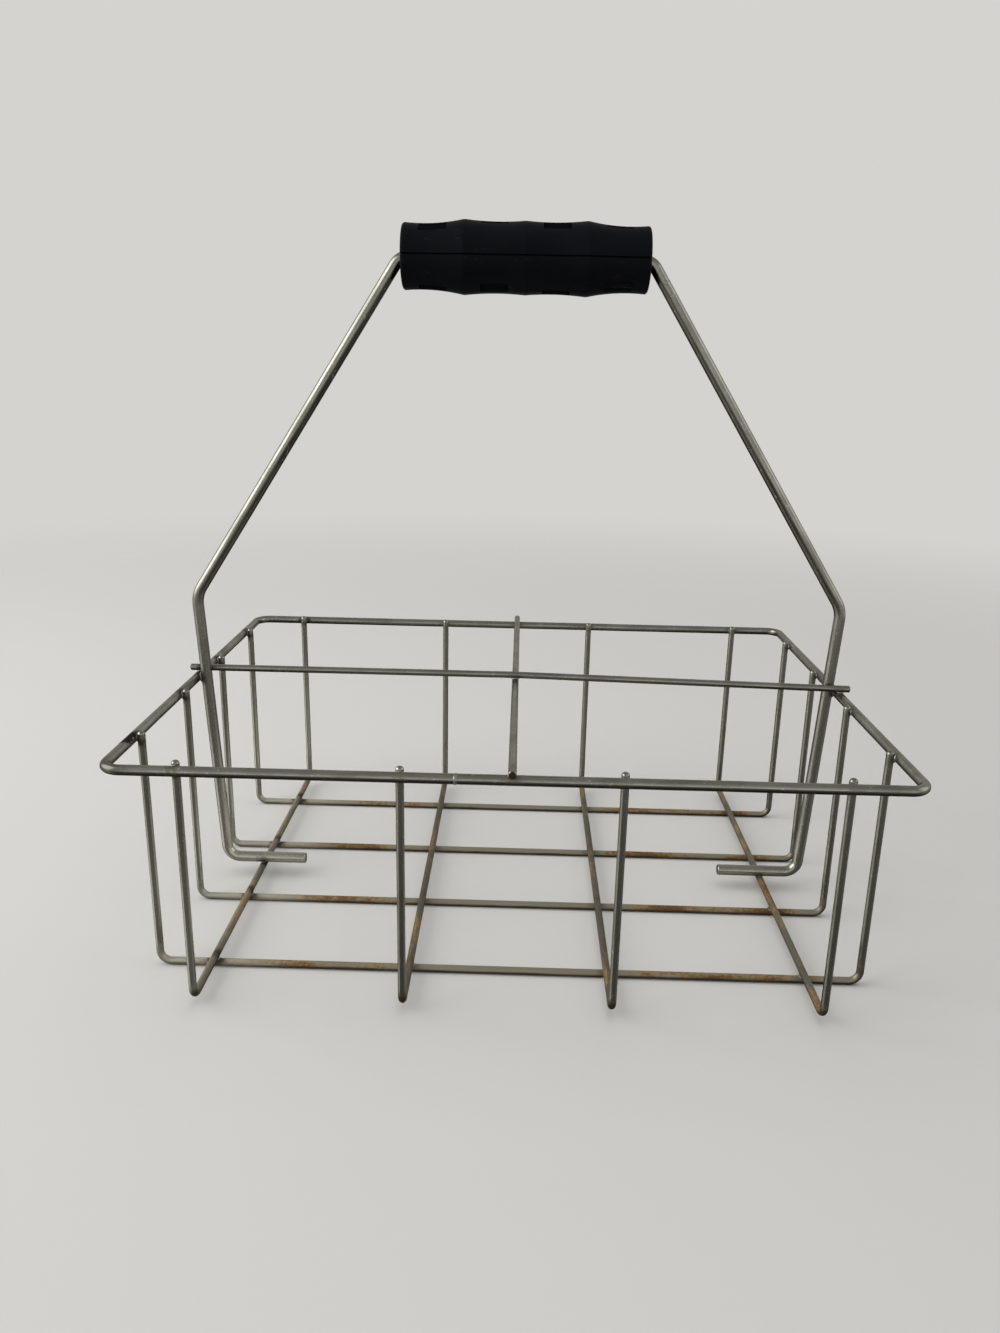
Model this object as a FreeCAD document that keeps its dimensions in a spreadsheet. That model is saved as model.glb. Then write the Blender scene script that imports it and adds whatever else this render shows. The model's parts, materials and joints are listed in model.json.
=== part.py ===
import FreeCAD, Part

import math
import os

import Sketcher

# A four-cell bottle caddy of welded wire, with a plastic grip that turns on its handle.
# Frame: X to the right, Y to the back, Z up. The origin is on the ground, under the middle.

# Driving dimensions in millimetres. Bend radii are to the middle of the wire.
driving = {
    # Basket: a rim, with U-shaped wires welded inside it
    "basket_length": 329.5,             # over the rim, left to right
    "basket_depth": 252.5,              # over the rim, front to back
    "basket_height": 112.4,             # ground to the top of the rim
    "rim_wire_diameter": 4.5,
    "rim_corner_radius": 7.5,
    "basket_wire_diameter": 3.5,
    "basket_bend_radius": 5.0,
    "long_wire_inset": 35.5,            # rim to the outer left-to-right wires, middle to middle
    "short_wire_inset": 29.0,           # rim to the outer front-to-back wires, middle to middle
    "long_wire_rise": 0.8,              # wire ends above the top of the rim
    "short_wire_rise": 1.0,
    "wire_end_share": 0.8,              # rounding of a worn wire end, of the wire's radius
    "weld_depth": 0.3,                  # how far two welded wires sink into each other

    # Dividers: two crossed wires over the rim
    "divider_wire_diameter": 3.5,
    "divider_bend_radius": 600.0,       # soft bend where they cross
    "long_divider_overhang": 2.6,       # past the outside of the rim
    "short_divider_overhang": 1.6,
    "divider_leg_gap": 0.2,             # between the long divider and the handle's legs
    "cut_end_chamfer": 0.4,             # sheared ends of the dividers and the handle

    # Handle: one bent wire, welded inside the rim and to the floor of the basket
    "handle_wire_diameter": 5.7,
    "shoulder_rise": 42.9,              # rim to the shoulders' corners
    "handle_rise": 159.0,               # shoulders' corners to the top bar
    "foot_inset": 5.3,                  # legs lean in by this much from the rim to the feet
    "foot_overhang": 23.0,              # feet past the outer front-to-back wires
    "top_corner_reach": 1.4,            # corners of the top bar past the ends of the grip
    "top_bend_radius": 8.0,
    "shoulder_bend_radius": 15.0,
    "foot_bend_radius": 7.0,

    # Grip: two equal shells that snap together around the top bar
    "grip_length": 111.0,
    "grip_waist_diameter": 27.9,        # at the bottom of the end grooves
    "grip_end_flare": 0.45,             # ends above the waist
    "grip_crest_height": 2.05,          # outer crests above the waist
    "middle_crest_drop": 0.35,          # middle crest under the outer ones
    "inner_groove_depth": 0.72,         # under the crests beside it
    "end_groove_share": 0.32,           # place of the waist along an end groove
    "crest_rounding": 3.0,
    "grip_end_rounding": 1.2,
    "grip_wall": 3.0,                   # at the waist
    "grip_end_wall": 3.2,
    "grip_rib": 2.6,                    # thickness of the three ribs that run on the bar
    "grip_clearance": 0.3,              # ribs and end walls to the bar
    "parting_chamfer": 0.35,            # outer edges of the parting faces

    # Snap fit of the two shells
    "window_length": 12.4,
    "window_inset": 1.15,               # side of the hollow to the front edge of a catch window
    "catch_window_width": 6.0,
    "catch_ledge": 2.4,                 # ledge in a catch window, which the hook sits on
    "release_window_width": 4.8,        # opening beside the root of a finger
    "finger_thickness": 1.8,
    "finger_play": 0.2,
    "hook_overlap": 1.2,
    "hook_height_share": 0.37,          # of the wall

    "cut_overrun": 5.0,                 # how far a cut runs past what it cuts
}

wires_each_way = 4
half_turn = 180
same_place_share = 0.01                 # of the grip's wall, when its edges are picked

# Places and sizes worked out from the driving dimensions
worked_out = {
    "rim_radius": "sizes.rim_wire_diameter / 2",
    "wire_radius": "sizes.basket_wire_diameter / 2",
    "divider_radius": "sizes.divider_wire_diameter / 2",
    "handle_radius": "sizes.handle_wire_diameter / 2",

    "rim_half_length": "sizes.basket_length / 2 - rim_radius",
    "rim_half_depth": "sizes.basket_depth / 2 - rim_radius",
    "rim_level": "sizes.basket_height - rim_radius",

    "long_leg_place": "rim_half_length - rim_radius - wire_radius + sizes.weld_depth",
    "long_floor_level": "wire_radius",
    "long_end_level": "sizes.basket_height + sizes.long_wire_rise",
    "long_wire_pitch": f"2 * (rim_half_depth - sizes.long_wire_inset) / {wires_each_way - 1}",
    "short_leg_place": "rim_half_depth - rim_radius - wire_radius + sizes.weld_depth",
    "short_floor_level": "long_floor_level + sizes.basket_wire_diameter - sizes.weld_depth",
    "short_end_level": "sizes.basket_height + sizes.short_wire_rise",
    "short_wire_pitch": f"2 * (rim_half_length - sizes.short_wire_inset) / {wires_each_way - 1}",
    "wire_end_rounding": "wire_radius * sizes.wire_end_share",

    "divider_seat_level": "sizes.basket_height + divider_radius - sizes.weld_depth",
    "divider_bow": "divider_radius - sizes.weld_depth / 2",
    "long_divider_half": "sizes.basket_length / 2 + sizes.long_divider_overhang",
    "long_divider_middle": "divider_seat_level + divider_bow",
    "long_divider_end": "long_divider_middle - divider_bow * long_divider_half / rim_half_length",
    "short_divider_half": "sizes.basket_depth / 2 + sizes.short_divider_overhang",
    "short_divider_middle": "divider_seat_level - divider_bow",
    "short_divider_end": "short_divider_middle + divider_bow * short_divider_half / rim_half_depth",

    "leg_at_rim": "rim_half_length - rim_radius - handle_radius + sizes.weld_depth",
    "foot_level": "short_floor_level + wire_radius + handle_radius - sizes.weld_depth",
    "leg_slope": "sizes.foot_inset / (rim_level - foot_level)",
    "foot_corner": "leg_at_rim - sizes.foot_inset",
    "foot_end": "rim_half_length - sizes.short_wire_inset - sizes.foot_overhang",
    "shoulder_corner": "leg_at_rim + sizes.shoulder_rise * leg_slope",
    "shoulder_level": "rim_level + sizes.shoulder_rise",
    "handle_level": "shoulder_level + sizes.handle_rise",
    "grip_half": "sizes.grip_length / 2",
    "top_corner": "grip_half + sizes.top_corner_reach",
    "top_turn": "atan(sizes.handle_rise / (shoulder_corner - top_corner))",
    "leg_at_divider": "leg_at_rim + (divider_seat_level - rim_level) * leg_slope",
    "leg_to_divider": "handle_radius + divider_radius + sizes.divider_leg_gap",
    "divider_skew": "asin(leg_to_divider / leg_at_divider)",

    "groove_length": "sizes.grip_length / 4",
    "waist_radius": "sizes.grip_waist_diameter / 2",
    "grip_end_radius": "waist_radius + sizes.grip_end_flare",
    "outer_crest_radius": "waist_radius + sizes.grip_crest_height",
    "middle_crest_radius": "outer_crest_radius - sizes.middle_crest_drop",
    "inner_groove_radius": "(outer_crest_radius + middle_crest_radius) / 2 - sizes.inner_groove_depth",
    "waist_place": "grip_half - sizes.end_groove_share * groove_length",
    "hollow_radius": "waist_radius - sizes.grip_wall",
    "hollow_half": "grip_half - sizes.grip_end_wall",
    "rib_half": "sizes.grip_rib / 2",
    "rib_bore_radius": "handle_radius + sizes.grip_clearance",
    "bend_inside": "max(0; sizes.top_bend_radius * tan(top_turn / 2) - sizes.top_corner_reach)",
    "mouth_tilt": "asin(bend_inside / sizes.top_bend_radius)",
    "mouth_drop": "sizes.top_bend_radius * (1 - cos(mouth_tilt))",
    "mouth_radius": "handle_radius / cos(mouth_tilt) + mouth_drop + sizes.grip_clearance",

    "catch_front": "hollow_radius - sizes.window_inset",
    "catch_back": "catch_front - sizes.catch_window_width",
    "ledge_edge": "catch_back + sizes.catch_ledge",
    "finger_back": "ledge_edge + sizes.finger_play",
    "finger_front": "finger_back + sizes.finger_thickness",
    "finger_length": "sizes.window_length - 2 * sizes.finger_play",
    "hook_back": "ledge_edge - sizes.hook_overlap",
    "hook_height": "sizes.grip_wall * sizes.hook_height_share",
    "hook_seat": "hollow_radius + sizes.finger_play / 2",
    "finger_span": "hollow_radius + hook_seat + hook_height",
    "release_back": "ledge_edge - sizes.release_window_width",
    "through_grip": "outer_crest_radius + sizes.cut_overrun",
}

doc = FreeCAD.newDocument("bottle_caddy")

sheet = doc.addObject("Spreadsheet::Sheet", "sizes")
for row, (alias, value) in enumerate(driving.items(), start=1):
    sheet.set(f"A{row}", alias.replace("_", " "))
    sheet.set(f"B{row}", str(value))
    sheet.setAlias(f"B{row}", alias)

places = doc.addObject("Spreadsheet::Sheet", "places")
for row, (alias, formula) in enumerate(worked_out.items(), start=1):
    places.set(f"A{row}", alias.replace("_", " "))
    places.set(f"B{row}", f"={formula}")
    places.setAlias(f"B{row}", alias)
doc.recompute()


# Sketching

def number(expression):
    return float(places.evalExpression(expression))


def point_at(across, up):
    return FreeCAD.Vector(number(across), number(up), 0)


def make_body(name):
    body = doc.addObject("PartDesign::Body", name)
    body.Label = name
    return body


def make_sketch(body, purpose, role, lift=None):
    sketch = body.newObject("Sketcher::SketchObject", f"{body.Name}_{purpose}")
    plane = next(item for item in body.Origin.OriginFeatures if item.Role == role)
    sketch.AttachmentSupport = [(plane, "")]
    sketch.MapMode = "FlatFace"
    if lift:
        sketch.setExpression("AttachmentOffset.Base.z", lift)
    return sketch


def bind(sketch, name, expression, kind, *elements):
    index = sketch.addConstraint(Sketcher.Constraint(kind, *elements, number(expression)))
    sketch.renameConstraint(index, name)
    sketch.setExpression(f"Constraints.{name}", expression)


def place_point(sketch, name, across, up, element, end):
    bind(sketch, f"{name}_across", across, "DistanceX", -1, 1, element, end)
    bind(sketch, f"{name}_up", up, "DistanceY", -1, 1, element, end)


def nearest_end(sketch, element, point):
    return min((1, 2), key=lambda end: sketch.getPoint(element, end).distanceToPoint(point))


def leave_corner(corner, far, via):
    """Direction in which an edge leaves a corner: straight, or along the arc through via."""
    if not via:
        return (far - corner).normalize()
    spoke = corner - Part.Circle(corner, via, far).Center
    along = FreeCAD.Vector(-spoke.y, spoke.x, 0).normalize()
    return along if along.dot(via - corner) > 0 else -along


def find_bend(corner, before, after, radius):
    """Start, middle and finish of an arc that rounds a corner between two directions."""
    half_angle = before.getAngle(after) / 2
    run_in = radius / math.tan(half_angle)
    depth = radius / math.sin(half_angle) - radius
    middle = corner + (before + after).normalize() * depth
    return corner + before * run_in, middle, corner + after * run_in


def join(sketch, kind, first, second, point):
    ends = nearest_end(sketch, first, point), nearest_end(sketch, second, point)
    sketch.addConstraint(Sketcher.Constraint(kind, first, ends[0], second, ends[1]))


def mark_point(sketch, name, across, up, *edges):
    """A fixed point that the edges run through."""
    mark = sketch.addGeometry(Part.Point(point_at(across, up)), True)
    for edge in edges:
        sketch.addConstraint(Sketcher.Constraint("PointOnObject", mark, 1, edge))
    place_point(sketch, name, across, up, mark, 1)


def draw_chain(sketch, name, vertices, closed=True):
    """Lines and arcs through vertices. A vertex is (across, up, rounding, via), where rounding is
    the radius of a tangent arc at the vertex, and via is a point on an arc to the next vertex."""
    corners = [point_at(across, up) for across, up, rounding, via in vertices]
    vias = [point_at(*via) if via else None for across, up, rounding, via in vertices]
    count = len(vertices)

    bends = {}
    for index, (across, up, rounding, via) in enumerate(vertices):
        if rounding:
            before = leave_corner(corners[index], corners[index - 1], vias[index - 1])
            after = leave_corner(corners[index], corners[(index + 1) % count], vias[index])
            bends[index] = find_bend(corners[index], before, after, number(rounding))

    edges = []
    for index in range(count if closed else count - 1):
        following = (index + 1) % count
        start = bends[index][2] if index in bends else corners[index]
        finish = bends[following][0] if following in bends else corners[following]
        curve = Part.Arc(start, vias[index], finish) if vias[index] else Part.LineSegment(start, finish)
        edges.append(sketch.addGeometry(curve, False))

    for index, (across, up, rounding, via) in enumerate(vertices):
        label, corner = f"{name}_{index}", corners[index]
        is_open_end = not closed and index in (0, count - 1)
        before, after = edges[index - 1], edges[index % len(edges)]
        if rounding:
            start, middle, finish = bends[index]
            bend = sketch.addGeometry(Part.Arc(start, middle, finish), False)
            join(sketch, "Tangent", before, bend, start)
            join(sketch, "Tangent", after, bend, finish)
            mark_point(sketch, label, across, up, before, after)
            bind(sketch, f"{label}_rounding", rounding, "Radius", bend)
        else:
            edge = before if is_open_end and index else after
            if not is_open_end:
                join(sketch, "Coincident", before, after, corner)
            place_point(sketch, label, across, up, edge, nearest_end(sketch, edge, corner))
        if via:
            mark_point(sketch, f"{label}_via", *via, after)


# Bent wire

def sweep_wire(body, path, diameter):
    doc.recompute()
    section = body.newObject("Sketcher::SketchObject", f"{body.Name}_section")
    section.AttachmentSupport = [(path, "Edge1")]
    section.MapMode = "NormalToEdge"
    middle, normal = FreeCAD.Vector(0, 0, 0), FreeCAD.Vector(0, 0, 1)
    circle = section.addGeometry(Part.Circle(middle, normal, number(diameter) / 2), False)
    section.addConstraint(Sketcher.Constraint("Coincident", circle, 3, -1, 1))
    bind(section, "wire_diameter", diameter, "Diameter", circle)
    pipe = body.newObject("PartDesign::AdditivePipe", f"{body.Name}_sweep")
    pipe.Profile = section
    pipe.Spine = (path, [f"Edge{index + 1}" for index in range(len(path.Shape.Edges))])
    doc.recompute()
    return pipe


def edges_where(feature, test):
    return [f"Edge{index}" for index, edge in enumerate(feature.Shape.Edges, start=1) if test(edge)]


def dress_edges(body, kind, purpose, size, expression, test):
    base = body.Tip
    dressing = body.newObject(f"PartDesign::{kind}", f"{body.Name}_{purpose}")
    dressing.Base = (base, edges_where(base, test))
    dressing.setExpression(size, expression)
    body.Tip = dressing
    doc.recompute()


def on_flat_end(feature):
    flat_faces = [face for face in feature.Shape.Faces if isinstance(face.Surface, Part.Plane)]
    rims = [edge for face in flat_faces for edge in face.Edges]
    return lambda edge: any(edge.isSame(rim) for rim in rims)


def round_wire_ends(body, pipe):
    dress_edges(body, "Fillet", "ends", "Radius", "places.wire_end_rounding", on_flat_end(pipe))


def shear_wire_ends(body, pipe):
    dress_edges(body, "Chamfer", "ends", "Size", "sizes.cut_end_chamfer", on_flat_end(pipe))


def make_rim():
    body = make_body("rim_wire")
    path = make_sketch(body, "path", "XY_Plane", "places.rim_level")
    across, up, bend = "places.rim_half_length", "places.rim_half_depth", "sizes.rim_corner_radius"
    corners = [(f"-{across}", f"-{up}"), (across, f"-{up}"), (across, up), (f"-{across}", up)]
    draw_chain(path, "corner", [(*corner, bend, None) for corner in corners])
    sweep_wire(body, path, "sizes.rim_wire_diameter")
    return body


def make_basket_wire(way, index, role, direction):
    body = make_body(f"{way}_basket_wire_{index + 1}")
    path = make_sketch(body, "path", role)
    leg, floor, end = f"places.{way}_leg_place", f"places.{way}_floor_level", f"places.{way}_end_level"
    bend = "sizes.basket_bend_radius"
    draw_chain(path, "corner", [
        (f"-{leg}", end, None, None),
        (f"-{leg}", floor, bend, None),
        (leg, floor, bend, None),
        (leg, end, None, None),
    ], closed=False)
    pipe = sweep_wire(body, path, "sizes.basket_wire_diameter")
    round_wire_ends(body, pipe)
    steps = index - (wires_each_way - 1) / 2
    body.setExpression(f"Placement.Base.{direction}", f"{steps} * places.{way}_wire_pitch")
    return body


def make_divider(way, role):
    body = make_body(f"{way}_divider_wire")
    path = make_sketch(body, "path", role)
    half, end, middle = (f"places.{way}_divider_{place}" for place in ("half", "end", "middle"))
    draw_chain(path, "corner", [
        (f"-{half}", end, None, None),
        ("0", middle, "sizes.divider_bend_radius", None),
        (half, end, None, None),
    ], closed=False)
    pipe = sweep_wire(body, path, "sizes.divider_wire_diameter")
    shear_wire_ends(body, pipe)
    return body


def make_long_divider():
    # Its ends pass behind the left leg of the handle and in front of the right one.
    body = make_divider("long", "XZ_Plane")
    body.Placement.Rotation = FreeCAD.Rotation(FreeCAD.Vector(0, 0, -1), number("places.divider_skew"))
    body.setExpression("Placement.Rotation.Angle", "places.divider_skew")
    return body


def make_handle():
    body = make_body("handle_wire")
    path = make_sketch(body, "path", "XZ_Plane")
    right_side = [
        ("places.top_corner", "places.handle_level", "sizes.top_bend_radius", None),
        ("places.shoulder_corner", "places.shoulder_level", "sizes.shoulder_bend_radius", None),
        ("places.foot_corner", "places.foot_level", "sizes.foot_bend_radius", None),
        ("places.foot_end", "places.foot_level", None, None),
    ]
    left_side = [(f"-{across}", up, bend, via) for across, up, bend, via in reversed(right_side)]
    draw_chain(path, "corner", left_side + right_side, closed=False)
    pipe = sweep_wire(body, path, "sizes.handle_wire_diameter")
    shear_wire_ends(body, pipe)
    return body


# Grip

def grip_outline():
    """Half section of a shell: four finger grooves outside, and ribs and end walls around the bar."""
    half, hollow_half = "places.grip_half", "places.hollow_half"
    groove, rib = "places.groove_length", "places.rib_half"
    mouth, bore, hollow = "places.mouth_radius", "places.rib_bore_radius", "places.hollow_radius"
    waist, crest, end = "places.waist_radius", "places.outer_crest_radius", "places.grip_end_radius"
    crest_rounding, end_rounding = "sizes.crest_rounding", "sizes.grip_end_rounding"
    inner_left = (f"-{groove} / 2", "places.inner_groove_radius")
    inner_right = (f"{groove} / 2", "places.inner_groove_radius")

    vertices = [
        (f"-{half}", mouth, None, None),
        (f"-{half}", end, end_rounding, ("-places.waist_place", waist)),
        (f"-{groove}", crest, crest_rounding, inner_left),
        ("0", "places.middle_crest_radius", crest_rounding, inner_right),
        (groove, crest, crest_rounding, ("places.waist_place", waist)),
        (half, end, end_rounding, None),
        (half, mouth, None, None),
        (hollow_half, mouth, None, None),
        (hollow_half, hollow, None, None),
    ]
    for rib_place in (groove, "0", f"-{groove}"):
        vertices += [
            (f"{rib_place} + {rib}", hollow, None, None),
            (f"{rib_place} + {rib}", bore, None, None),
            (f"{rib_place} - {rib}", bore, None, None),
            (f"{rib_place} - {rib}", hollow, None, None),
        ]
    vertices += [(f"-{hollow_half}", hollow, None, None), (f"-{hollow_half}", mouth, None, None)]
    return vertices


def draw_window_pair(sketch, groove_steps, length, front, back):
    for pair, steps in enumerate(groove_steps):
        left = f"{steps} * places.groove_length - {length} / 2"
        right = f"{steps} * places.groove_length + {length} / 2"
        draw_chain(sketch, f"window_{pair}", [
            (left, f"-{front}", None, None),
            (right, f"-{front}", None, None),
            (right, f"-{back}", None, None),
            (left, f"-{back}", None, None),
        ])


def extrude(body, kind, sketch, length, reversed_way):
    before = body.Tip.Shape.Volume
    feature = body.newObject(f"PartDesign::{kind}", f"{sketch.Name}_{kind.lower()}")
    feature.Profile = sketch
    feature.Reversed = reversed_way
    feature.setExpression("Length", length)
    body.Tip = feature
    doc.recompute()
    gain = feature.Shape.Volume - before
    if gain == 0 or (gain > 0) != (kind == "Pad"):
        raise RuntimeError(f"{feature.Label} changed the volume by {gain}")


def same_place(first, second):
    return abs(first - second) < same_place_share * number("sizes.grip_wall")


def is_outer_parting_edge(edge):
    box = edge.BoundBox
    on_parting = same_place(box.ZMin, 0) and same_place(box.ZMax, 0)
    return on_parting and abs(box.Center.y) > number("places.hollow_radius")


def make_grip_half(name, turned_over):
    body = make_body(name)
    outline = make_sketch(body, "outline", "XZ_Plane")
    draw_chain(outline, "corner", grip_outline())
    shell = body.newObject("PartDesign::Revolution", f"{name}_shell")
    shell.Profile = outline
    shell.ReferenceAxis = (outline, ["H_Axis"])
    shell.Angle = half_turn
    shell.Midplane = True
    doc.recompute()

    # Windows over the other shell's fingers, each with a ledge for the hook
    catch_grooves, finger_grooves = (-1.5, 0.5), (-0.5, 1.5)
    window, front = "sizes.window_length", "places.catch_front"
    opening = make_sketch(body, "catch_opening", "XY_Plane")
    draw_window_pair(opening, catch_grooves, window, front, "places.ledge_edge")
    extrude(body, "Pocket", opening, "places.through_grip", True)
    recess = make_sketch(body, "catch_recess", "XY_Plane", "places.hollow_radius")
    draw_window_pair(recess, catch_grooves, window, front, "places.catch_back")
    extrude(body, "Pocket", recess, "places.through_grip", True)

    # Fingers that reach across into the other shell, with an opening beside each root
    release = make_sketch(body, "release", "XY_Plane")
    draw_window_pair(release, finger_grooves, window, "places.ledge_edge", "places.release_back")
    extrude(body, "Pocket", release, "places.through_grip", True)
    length, root = "places.finger_length", "places.finger_back"
    finger = make_sketch(body, "finger", "XY_Plane", "places.hollow_radius")
    draw_window_pair(finger, finger_grooves, length, "places.finger_front", root)
    extrude(body, "Pad", finger, "places.finger_span", True)
    hook = make_sketch(body, "hook", "XY_Plane", "-places.hook_seat")
    draw_window_pair(hook, finger_grooves, length, root, "places.hook_back")
    extrude(body, "Pad", hook, "places.hook_height", True)

    dress_edges(body, "Chamfer", "parting", "Size", "sizes.parting_chamfer", is_outer_parting_edge)
    if turned_over:
        body.Placement.Rotation = FreeCAD.Rotation(FreeCAD.Vector(0, 1, 0), half_turn)
    body.setExpression("Placement.Base.z", "places.handle_level")
    return body


bodies = [make_rim()]
bodies += [make_basket_wire("long", index, "XZ_Plane", "y") for index in range(wires_each_way)]
bodies += [make_basket_wire("short", index, "YZ_Plane", "x") for index in range(wires_each_way)]
bodies += [make_long_divider(), make_divider("short", "YZ_Plane"), make_handle()]
bodies += [make_grip_half("grip_upper_half", False), make_grip_half("grip_lower_half", True)]

doc.recompute()
for item in doc.Objects:
    if "Invalid" in item.State or "Error" in item.State:
        raise RuntimeError(f"{item.Label} did not build: {item.State}")
for body in bodies:
    if body.Shape.isNull() or not body.Shape.isValid() or len(body.Shape.Solids) != 1:
        raise RuntimeError(f"{body.Label} is not one valid solid")

os.makedirs("parts", exist_ok=True)
for body in bodies:
    body.Shape.exportStep(f"parts/{body.Label}.step")
    print(f"{body.Label}: {body.Shape.Volume:.0f} cubic mm")
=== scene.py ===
import json
import math

import bpy
from mathutils import Matrix, Vector
from mathutils.geometry import intersect_line_line


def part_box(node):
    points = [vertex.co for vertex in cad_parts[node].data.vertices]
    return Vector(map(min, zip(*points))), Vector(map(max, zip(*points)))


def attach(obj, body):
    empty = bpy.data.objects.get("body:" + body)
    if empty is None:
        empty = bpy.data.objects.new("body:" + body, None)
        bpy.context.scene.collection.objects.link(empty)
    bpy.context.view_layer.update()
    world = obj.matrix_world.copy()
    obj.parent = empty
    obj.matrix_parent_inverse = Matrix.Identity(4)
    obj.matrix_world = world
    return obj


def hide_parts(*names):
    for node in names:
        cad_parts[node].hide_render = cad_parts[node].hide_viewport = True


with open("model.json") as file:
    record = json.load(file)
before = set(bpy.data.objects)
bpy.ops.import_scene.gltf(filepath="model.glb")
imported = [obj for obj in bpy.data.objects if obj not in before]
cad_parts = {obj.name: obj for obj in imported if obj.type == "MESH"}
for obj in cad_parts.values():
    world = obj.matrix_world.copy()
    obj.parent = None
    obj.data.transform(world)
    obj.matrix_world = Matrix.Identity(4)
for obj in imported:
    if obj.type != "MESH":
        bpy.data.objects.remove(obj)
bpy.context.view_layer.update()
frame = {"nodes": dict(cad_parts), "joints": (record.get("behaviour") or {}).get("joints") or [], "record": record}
print("frame loaded:", len(frame["nodes"]), "nodes")


# Node trees, for geometry and shaders alike

def newTree(name, kind, inputs, outputs):
    tree = bpy.data.node_groups.new(name, kind)
    for side, sockets in (("INPUT", inputs), ("OUTPUT", outputs)):
        for socketName, socketKind in sockets.items():
            tree.interface.new_socket(socketName, in_out=side, socket_type="NodeSocket" + socketKind)
    given = tree.nodes.new("NodeGroupInput")
    result = tree.nodes.new("NodeGroupOutput")
    return tree, given.outputs, result.inputs


def plug(tree, value, socket):
    if isinstance(value, bpy.types.NodeSocket):
        tree.links.new(value, socket)
    else:
        socket.default_value = value


def addNode(tree, kind, inputs=None, **settings):
    node = tree.nodes.new(kind)
    for name, value in settings.items():
        setattr(node, name, value)
    for key, value in (inputs or {}).items():
        plug(tree, value, node.inputs[key])
    return node


def calc(tree, operation, *values, clamp=False):
    node = addNode(tree, "ShaderNodeMath", dict(enumerate(values)), operation=operation, use_clamp=clamp)
    return node.outputs[0]


def plus(tree, first, second):
    return calc(tree, "ADD", first, second)


def minus(tree, first, second):
    return calc(tree, "SUBTRACT", first, second)


def times(tree, first, second):
    return calc(tree, "MULTIPLY", first, second)


def largest(tree, first, *others):
    for other in others:
        first = calc(tree, "MAXIMUM", first, other)
    return first


def weighted(tree, *parts):
    # The sum of some (value, share) pairs
    products = [times(tree, value, share) for value, share in parts]
    total = products[0]
    for product in products[1:]:
        total = plus(tree, total, product)
    return total


def calcVector(tree, operation, first, second):
    return addNode(tree, "ShaderNodeVectorMath", {0: first, 1: second}, operation=operation).outputs[0]


def enlarge(tree, vector, share):
    return addNode(tree, "ShaderNodeVectorMath", {0: vector, "Scale": share}, operation="SCALE").outputs[0]


def lengthOf(tree, vector):
    return addNode(tree, "ShaderNodeVectorMath", {0: vector}, operation="LENGTH").outputs["Value"]


def splitAxes(tree, vector):
    return addNode(tree, "ShaderNodeSeparateXYZ", {0: vector}).outputs


def ramp(tree, value, low, high, start=0.0, end=1.0):
    # A soft step from start to end, while value goes from low to high
    node = addNode(tree, "ShaderNodeMapRange", {0: value, 1: low, 2: high, 3: start, 4: end},
                   interpolation_type="SMOOTHSTEP")
    return node.outputs[0]


def tint(tree, factor, first, second):
    return addNode(tree, "ShaderNodeMix", {0: factor, 6: first, 7: second}, data_type="RGBA").outputs[2]


def blotch(tree, vector, scale, detail=4.0, roughness=0.55, shift=0.0):
    node = addNode(tree, "ShaderNodeTexNoise", {
        "Vector": vector, "W": shift, "Scale": scale, "Detail": detail, "Roughness": roughness,
    }, noise_dimensions="4D")
    return node.outputs[0]


# Bent wire: rings swept along a path of corners, each corner with its own bend

wireRings = {
    "sides": 28, "bendSteps": 14, "spacing": 0.0025, "endSteps": 6, "sharpAngle": 36,
    "waveScale": 22.0, "waveFade": 0.02,
}


def readAttribute(tree, name, kind):
    return addNode(tree, "GeometryNodeInputNamedAttribute", {"Name": name}, data_type=kind).outputs[0]


def capture(tree, geometry, kind, fields):
    node = addNode(tree, "GeometryNodeCaptureAttribute")
    for name in fields:
        node.capture_items.new(kind, name)
    plug(tree, geometry, node.inputs["Geometry"])
    for name, value in fields.items():
        plug(tree, value, node.inputs[name])
    return node.outputs


def setFinish(tree, geometry, finish):
    return addNode(tree, "GeometryNodeSetMaterial", {"Geometry": geometry, "Material": finish}).outputs[0]


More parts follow.
